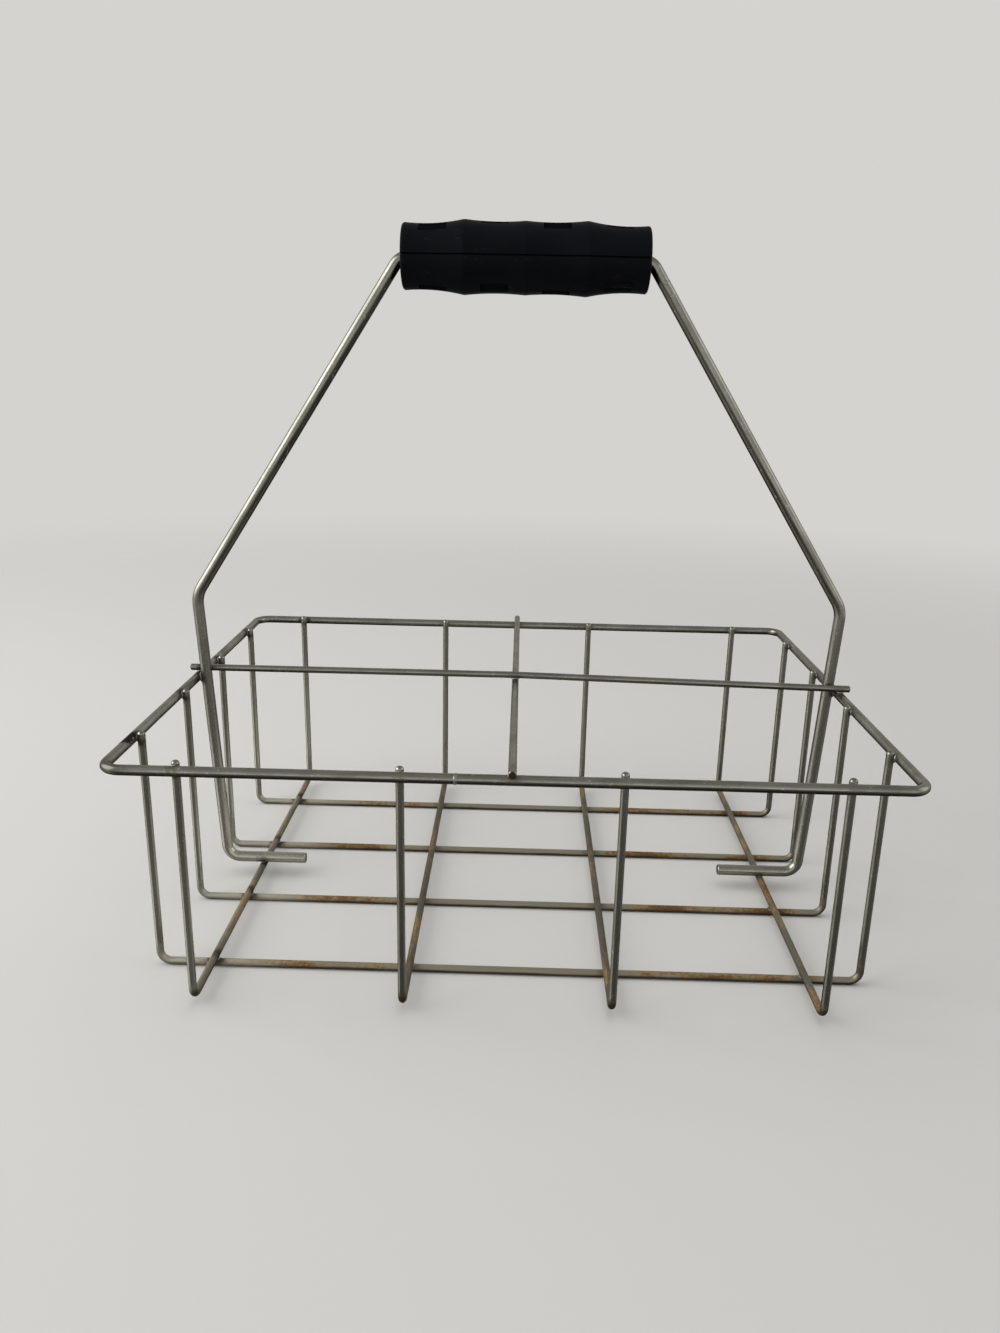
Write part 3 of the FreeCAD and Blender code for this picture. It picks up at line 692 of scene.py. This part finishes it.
def paintWire(name, isBasket):
    material, tree, shader = newMaterial(name)
    unbent = attribute(tree, "unbent", "Vector")
    place = objectPlace(tree)
    x, y, z = splitAxes(tree, place)
    grain = placeGroup(tree, drawnGrain, {
        "Vector": unbent, "Line Scale": zincFinish["lineScale"], "Pit Scale": zincFinish["pitScale"],
    })
    zinc = placeGroup(tree, patina, {
        "Vector": unbent, "Patch Scale": zincFinish["patchScale"], "Stain Level": zincFinish["stainLevel"],
    })
    scratch = placeGroup(tree, scuffs, {
        "Vector": unbent, "Scale": zincFinish["scuffScale"], "Threshold": zincFinish["scuffLevel"],
    })["Mask"]
    dents = placeGroup(tree, nicks, {
        "Vector": unbent, "Scale": zincFinish["nickScale"],
        "Size": zincFinish["nickSize"], "Share": zincFinish["nickShare"],
    })["Mask"]

    # Bare zinc, dull in patches and along the drawing lines, with painted shade darkening its underside
    dullness = weighted(tree, (zinc["Bloom"], zincFinish["bloomShare"]),
                        (grain["Lines"], zincFinish["lineShare"]))
    dull = calc(tree, "MINIMUM", dullness, 1.0)
    color = tint(tree, dull, zincFinish["bright"], zincFinish["dull"])
    rougher = zincFinish["dullRoughness"] - zincFinish["brightRoughness"]
    roughness = plus(tree, zincFinish["brightRoughness"], times(tree, dull, rougher))
    edge = times(tree, minus(tree, zinc["Bloom"], 0.5), zincFinish["undersideShadeEdge"])
    raggedUp = plus(tree, attribute(tree, "facingUp", "Fac"), edge)
    color = tint(tree, ramp(tree, raggedUp, *zincFinish["undersideShadeRange"]), color, zincFinish["shadeAndNickColor"])
    color = tint(tree, times(tree, scratch, zincFinish["scuffShare"]), color, zincFinish["scuff"])
    # Nicks are darkened as wear marks, with the same dark colour as the painted shade
    color = tint(tree, times(tree, dents, zincFinish["nickDarkness"]), color, zincFinish["shadeAndNickColor"])
    height = minus(tree, grain["Height"], times(tree, dents, zincFinish["nickDepth"]))
    metal = 1.0

    # Painted reflection and light: the zinc is lightened toward the floor, most of all on the left, standing in
    # for the pale floor it mirrors and the light from the left
    paintedLightRight = 0.0 if isBasket else zincFinish["paintedLightRight"]
    sideways = ramp(tree, x, *zincFinish["paintedLightSides"], zincFinish["paintedLightLeft"], paintedLightRight)
    clean = times(tree, ramp(tree, z, *zincFinish["paintedLightHeights"]), sideways)

    if isBasket:
        # The floor of the basket has a dull film, and rust that is thickest in the outer thirds
        low = ramp(tree, z, *basketFinish["filmHeights"])
        across = calc(tree, "ABSOLUTE", x)
        isLong = largest(tree, ramp(tree, across, *basketFinish["longWireEnds"]),
                         ramp(tree, z, *basketFinish["longWireHeights"]))
        longRust = times(tree, ramp(tree, across, *basketFinish["rustMiddle"]),
                         ramp(tree, across, *basketFinish["rustEnds"]))
        moreRust = times(tree, isLong, minus(tree, longRust, basketFinish["shortRust"]))
        rust = placeGroup(tree, floorRust, {
            "Vector": unbent, "Amount": plus(tree, moreRust, basketFinish["shortRust"]),
            "Patch Scale": basketFinish["rustScale"],
        })
        rusty = times(tree, rust["Mask"], low)
        film = tint(tree, isLong, basketFinish["shortFilm"], basketFinish["longFilm"])
        film = tint(tree, times(tree, dull, basketFinish["filmDullness"]), film, zincFinish["dull"])
        color = tint(tree, times(tree, low, basketFinish["filmShare"]), color, film)
        color = tint(tree, rusty, color, rust["Color"])
        # Grime with painted shade: the sides and underside of the low floor wires are darkened, partly for dirt
        # and partly for the contact shade along the floor
        grimeAndShadeMask = times(tree, low, ramp(tree, raggedUp, *basketFinish["grimeAndShadeRange"]))
        color = tint(tree, grimeAndShadeMask, color, basketFinish["grime"])
        rougher = weighted(tree, (low, basketFinish["filmRoughness"]), (rusty, basketFinish["rustRoughness"]))
        roughness = plus(tree, roughness, rougher)
        covered = weighted(tree, (low, basketFinish["filmCover"]), (rusty, basketFinish["rustCover"]))
        metal = minus(tree, 1.0, covered)
        height = plus(tree, height, times(tree, rust["Height"], basketFinish["rustDepth"]))
        # The painted light is mostly left off the basket's floor, apart from a share on the long wires
        kept = minus(tree, 1.0, times(tree, isLong, basketFinish["longWireLightShare"]))
        clean = times(tree, clean, minus(tree, 1.0, times(tree, low, kept)))
    color = tint(tree, clean, color, zincFinish["clean"])

    # Painted shade: the rim's corner at the front left is darkened, dimming the lamp's highlight there
    toCorner = times(tree, plus(tree, x, y), -1.0)
    color = tint(tree, ramp(tree, toCorner, *zincFinish["shadedCornerRange"]), color, zincFinish["shadeAndNickColor"])

    # Soot, singed brown at its edge
    soot, mark = gatherSoot(tree, place, unbent)
    dirt = largest(tree, times(tree, zinc["Stain"], zincFinish["stainShare"]), soot, mark)
    burnt = tint(tree, ramp(tree, dirt, *weldSoot["singeRange"]), weldSoot["singed"], weldSoot["black"])
    color = tint(tree, dirt, color, burnt)
    matt = largest(tree, times(tree, dirt, weldSoot["matt"]), times(tree, mark, weldSoot["markMatt"]))
    roughness = plus(tree, roughness, times(tree, matt, weldSoot["roughness"]))
    metal = times(tree, metal, minus(tree, 1.0, matt))
    if not isBasket:
        cutEnd = ramp(tree, attribute(tree, "endDistance", "Fac"), *zincFinish["cutEndRange"])
        color = tint(tree, cutEnd, color, zincFinish["cutEnd"])

    finishSurface(tree, shader, color, roughness, height, zincFinish)
    plug(tree, metal, shader.inputs["Metallic"])
    shader.inputs["Specular Tint"].default_value = zincFinish["glancing"]
    shader.inputs["Specular IOR Level"].default_value = weldSoot["sheen"]
    return material


weldFinish = {
    "patchScale": 420.0, "stainLevel": 0.5, "stainShare": 0.7, "roughness": 0.3, "bloomRoughness": 0.25,
    "metallic": 0.9, "bumpStrength": 0.4, "bumpDepth": 0.0001,
}


def paintWelds():
    material, tree, shader = newMaterial("weldMetal")
    zinc = placeGroup(tree, patina, {
        "Vector": objectPlace(tree),
        "Patch Scale": weldFinish["patchScale"], "Stain Level": weldFinish["stainLevel"],
    })
    color = tint(tree, zinc["Bloom"], zincFinish["bright"], zincFinish["dull"])
    color = tint(tree, times(tree, zinc["Stain"], weldFinish["stainShare"]), color, weldSoot["black"])
    roughness = plus(tree, weldFinish["roughness"], times(tree, zinc["Bloom"], weldFinish["bloomRoughness"]))
    finishSurface(tree, shader, color, roughness, zinc["Bloom"], weldFinish)
    shader.inputs["Metallic"].default_value = weldFinish["metallic"]
    return material


gripFinish = {
    "black": (0.0032, 0.0037, 0.0054, 1.0), "bloom": (0.0052, 0.006, 0.0082, 1.0),
    "dust": (0.05, 0.048, 0.045, 1.0), "dustShare": 0.12,
    "seam": (0.0004, 0.0004, 0.0005, 1.0), "seamRange": (0.00025, 0.0005, 1.0, 0.0),
    "cloudScale": 75.0, "stainLevel": 0.57, "bloomShare": 0.8, "roughness": 0.5, "bloomRoughness": 0.62,
    "scratchScale": 520.0, "scratchLevel": 0.68, "speckScale": 1300.0, "speckRange": (0.7, 0.74),
    "mouldScale": 2400.0, "bumpStrength": 0.25, "bumpDepth": 0.00008, "sheen": 0.05,
}


def paintGrip():
    material, tree, shader = newMaterial("gripPlastic")
    place = objectPlace(tree)
    moulded = blotch(tree, place, gripFinish["mouldScale"], detail=3.0, roughness=0.6)
    bloom = placeGroup(tree, patina, {
        "Vector": place, "Patch Scale": gripFinish["cloudScale"], "Stain Level": gripFinish["stainLevel"],
    })["Bloom"]
    scratch = placeGroup(tree, scuffs, {
        "Vector": place, "Scale": gripFinish["scratchScale"], "Threshold": gripFinish["scratchLevel"],
    })["Mask"]
    speckled = blotch(tree, place, gripFinish["speckScale"], detail=2.0, roughness=0.5, shift=2.0)
    dusty = largest(tree, scratch, ramp(tree, speckled, *gripFinish["speckRange"]))
    color = tint(tree, times(tree, bloom, gripFinish["bloomShare"]), gripFinish["black"], gripFinish["bloom"])
    color = tint(tree, times(tree, dusty, gripFinish["dustShare"]), color, gripFinish["dust"])
    seamLevel = frame["joints"][0]["pos_m"][2]
    fromSeam = calc(tree, "ABSOLUTE", minus(tree, splitAxes(tree, place)[2], seamLevel))
    inSeam = ramp(tree, fromSeam, *gripFinish["seamRange"])
    color = tint(tree, inSeam, color, gripFinish["seam"])
    rougher = gripFinish["bloomRoughness"] - gripFinish["roughness"]
    roughness = plus(tree, gripFinish["roughness"], times(tree, bloom, rougher))
    finishSurface(tree, shader, color, largest(tree, roughness, inSeam), moulded, gripFinish)
    shader.inputs["Specular IOR Level"].default_value = gripFinish["sheen"]
    return material


zincWire = paintWire("zincWire", False)
rustyWire = paintWire("basketWire", True)
weldMetal = paintWelds()
gripPlastic = paintGrip()
print("finishes ready")


# Pieces

welds = findWelds()
weldPlaces = bpy.data.objects.new("weldPlaces", weldMesh(welds, False))
wireTree = makeWireTree()
for order, (node, wire) in enumerate(wires.items()):
    isBasket = node in basketNodes
    words = node.split("_")
    pieceName = words[0] + "".join(word.capitalize() for word in words[1:])
    piece = growMesh(pieceName, pathMesh(pieceName + "Path", wire), wireTree, {
        "Wire Radius": wire["radius"], "Sides": wireRings["sides"], "Bend Steps": wireRings["bendSteps"],
        "Ring Spacing": wireRings["spacing"], "End Length": wire["endLength"],
        "End Roundness": wire["endRoundness"], "Waviness": wire["waviness"],
        "Seed": float(order), "Welds": weldPlaces, "Finish": rustyWire if isBasket else zincWire,
    })
    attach(piece, "frame")
    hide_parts(node)
    print("wire", pieceName, len(piece.data.polygons), "faces")

beads = growMesh("weldBeads", weldMesh(welds, True), makeWeldTree(), {
    "Lumpiness": weldBead["lumpiness"], "Seed": weldBead["seed"], "Finish": weldMetal,
})
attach(beads, "frame")
print("weld beads:", len(welds) + 1)

for node in ("grip_upper_half", "grip_lower_half"):
    shell = frame["nodes"][node]
    shell.data.materials.clear()
    shell.data.materials.append(gripPlastic)
print("grip finished")


# Studio

studio = {
    "backdrop": (0.66, 0.65, 0.625, 1.0), "overhead": (0.38, 0.376, 0.366, 1.0), "overheadRange": (0.4, 0.75),
    "ambient": (0.32, 0.32, 0.325, 1.0), "floor": (0.635, 0.625, 0.6, 1.0),
    "floorRadius": 1.6, "floorSides": 96, "floorFade": (0.3, 1.5),
}
studioLamps = {
    "keyLamp": {"place": (-1.5, -0.3, 0.85), "target": (0, -0.05, 0.12), "size": (1.6, 1.5), "power": 24.0,
                "color": (1.0, 0.99, 0.97), "isReflected": True},
    "topLamp": {"place": (-0.1, 0.2, 1.7), "target": (0, 0, 0.1), "size": (2.2, 2.2), "power": 15.0,
                "color": (1.0, 1.0, 1.0), "isReflected": False},
    "fillLamp": {"place": (1.5, -0.1, 0.8), "target": (0, 0, 0.14), "size": (1.0, 1.2), "power": 3.0,
                 "color": (1.0, 1.0, 1.0), "isReflected": True},
}
darkCard = {
    "edge": (0.014, 0.011, 0.008, 1.0), "middle": (0.5, 0.485, 0.45, 1.0),
    "middleHalfSizes": (0.165, 0.126, 1.0), "fadeRange": (0.75, 1.05),
    "roughness": 0.25, "ior": 1.9, "gloss": 1.0, "sides": (-0.7, 0.9), "ends": (-1.1, 0.5), "level": 0.0003,
}
brightCard = {
    "paint": (0.0, 0.0, 0.0, 1.0), "glow": (1.0, 0.985, 0.95, 1.0), "strength": 1.0,
    "halfWidth": 1.6, "height": 0.35, "place": -1.5,
}


def addLamp(name, lamp):
    light = bpy.data.lights.new(name, "AREA")
    light.shape = "RECTANGLE"
    light.size, light.size_y = lamp["size"]
    light.energy = lamp["power"]
    light.color = lamp["color"]
    obj = bpy.data.objects.new(name, light)
    obj.location = lamp["place"]
    obj.rotation_euler = (Vector(lamp["target"]) - obj.location).to_track_quat("-Z", "Y").to_euler()
    obj.visible_glossy = lamp["isReflected"]
    bpy.context.scene.collection.objects.link(obj)


def addFlat(name, corners, material):
    mesh = bpy.data.meshes.new(name)
    mesh.from_pydata(corners, [], [list(range(len(corners)))])
    mesh.materials.append(material)
    obj = bpy.data.objects.new(name, mesh)
    bpy.context.scene.collection.objects.link(obj)
    return obj


def makeFloor():
    # A round floor that fades into the backdrop
    material, tree, shader = newMaterial("paleFloor")
    shader.inputs["Base Color"].default_value = studio["floor"]
    shader.inputs["Roughness"].default_value = 1.0
    shader.inputs["Specular IOR Level"].default_value = 0.0
    fade = ramp(tree, lengthOf(tree, objectPlace(tree)), *studio["floorFade"])
    clear = addNode(tree, "ShaderNodeBsdfTransparent")
    mixed = addNode(tree, "ShaderNodeMixShader", {0: fade, 1: shader.outputs[0], 2: clear.outputs[0]})
    output = next(node for node in tree.nodes if node.type == "OUTPUT_MATERIAL")
    plug(tree, mixed.outputs[0], output.inputs["Surface"])
    radius, sides = studio["floorRadius"], studio["floorSides"]
    turns = [2 * math.pi * step / sides for step in range(sides)]
    corners = [(radius * math.cos(turn), radius * math.sin(turn), 0.0) for turn in turns]
    addFlat("studioFloor", corners, material)


def makeWorld():
    # What is seen is the backdrop, darker overhead, and what lights the caddy is the dimmer ambient
    world = bpy.data.worlds.new("studioAir")
    world.use_nodes = True
    tree = world.node_tree
    tree.nodes.clear()
    rays = addNode(tree, "ShaderNodeLightPath").outputs
    seen = largest(tree, rays["Is Camera Ray"], rays["Is Glossy Ray"], rays["Is Transmission Ray"])
    toward = splitAxes(tree, addNode(tree, "ShaderNodeTexCoord").outputs["Generated"])
    overhead = ramp(tree, toward[2], *studio["overheadRange"])
    shown = tint(tree, overhead, studio["backdrop"], studio["overhead"])
    sky = addNode(tree, "ShaderNodeBackground", {"Color": tint(tree, seen, studio["ambient"], shown)})
    addNode(tree, "ShaderNodeOutputWorld", {"Surface": sky.outputs[0]})
    bpy.context.scene.world = world


def paintDarkCard():
    # Dark and polished, and pale under the caddy
    material, tree, shader = newMaterial("darkCard")
    shares = calcVector(tree, "DIVIDE", objectPlace(tree), darkCard["middleHalfSizes"])
    outside = ramp(tree, lengthOf(tree, shares), *darkCard["fadeRange"])
    plug(tree, tint(tree, outside, darkCard["middle"], darkCard["edge"]), shader.inputs["Base Color"])
    shader.inputs["Roughness"].default_value = darkCard["roughness"]
    shader.inputs["Specular IOR Level"].default_value = darkCard["gloss"]
    shader.inputs["IOR"].default_value = darkCard["ior"]
    return material


def paintBrightCard():
    material, tree, shader = newMaterial("brightCard")
    shader.inputs["Base Color"].default_value = brightCard["paint"]
    shader.inputs["Emission Color"].default_value = brightCard["glow"]
    shader.inputs["Emission Strength"].default_value = brightCard["strength"]
    return material


def addCards():
    # Only reflections see the cards, which give the wires their dark and bright lines
    left, right = darkCard["sides"]
    front, back = darkCard["ends"]
    level = darkCard["level"]
    lying = [(left, front, level), (right, front, level), (right, back, level), (left, back, level)]
    side, top, near = brightCard["halfWidth"], brightCard["height"], brightCard["place"]
    upright = [(side, near, 0), (-side, near, 0), (-side, near, top), (side, near, top)]
    for name, corners, material in (("darkCard", lying, paintDarkCard()),
                                    ("brightCard", upright, paintBrightCard())):
        card = addFlat(name, corners, material)
        card.visible_camera = False
        card.visible_diffuse = False
        card.visible_shadow = False


makeFloor()
makeWorld()
for name, lamp in studioLamps.items():
    addLamp(name, lamp)
addCards()
print("studio ready")


# Camera, at the photograph's viewpoint

cameraView = {
    "place": (0.001024, -0.4864, 0.26414), "turn": -1.055, "dip": 16.547, "roll": 1.137, "lens": 27.06,
    "clipStart": 0.01, "clipEnd": 20.0,
}


def makeCamera():
    turn, dip, roll = (math.radians(cameraView[name]) for name in ("turn", "dip", "roll"))
    ahead = Vector((math.sin(turn) * math.cos(dip), math.cos(turn) * math.cos(dip), -math.sin(dip)))
    level = Vector((math.cos(turn), -math.sin(turn), 0.0))
    upward = level.cross(ahead)
    right = math.cos(roll) * level + math.sin(roll) * upward
    up = math.cos(roll) * upward - math.sin(roll) * level
    camera = bpy.data.objects.new("camera", bpy.data.cameras.new("camera"))
    camera.data.lens = cameraView["lens"]
    camera.data.clip_start = cameraView["clipStart"]
    camera.data.clip_end = cameraView["clipEnd"]
    pose = Matrix((right, up, -ahead)).transposed().to_4x4()
    camera.matrix_world = Matrix.Translation(cameraView["place"]) @ pose
    bpy.context.scene.collection.objects.link(camera)
    bpy.context.scene.camera = camera


makeCamera()
bpy.context.scene.view_settings.view_transform = "Standard"
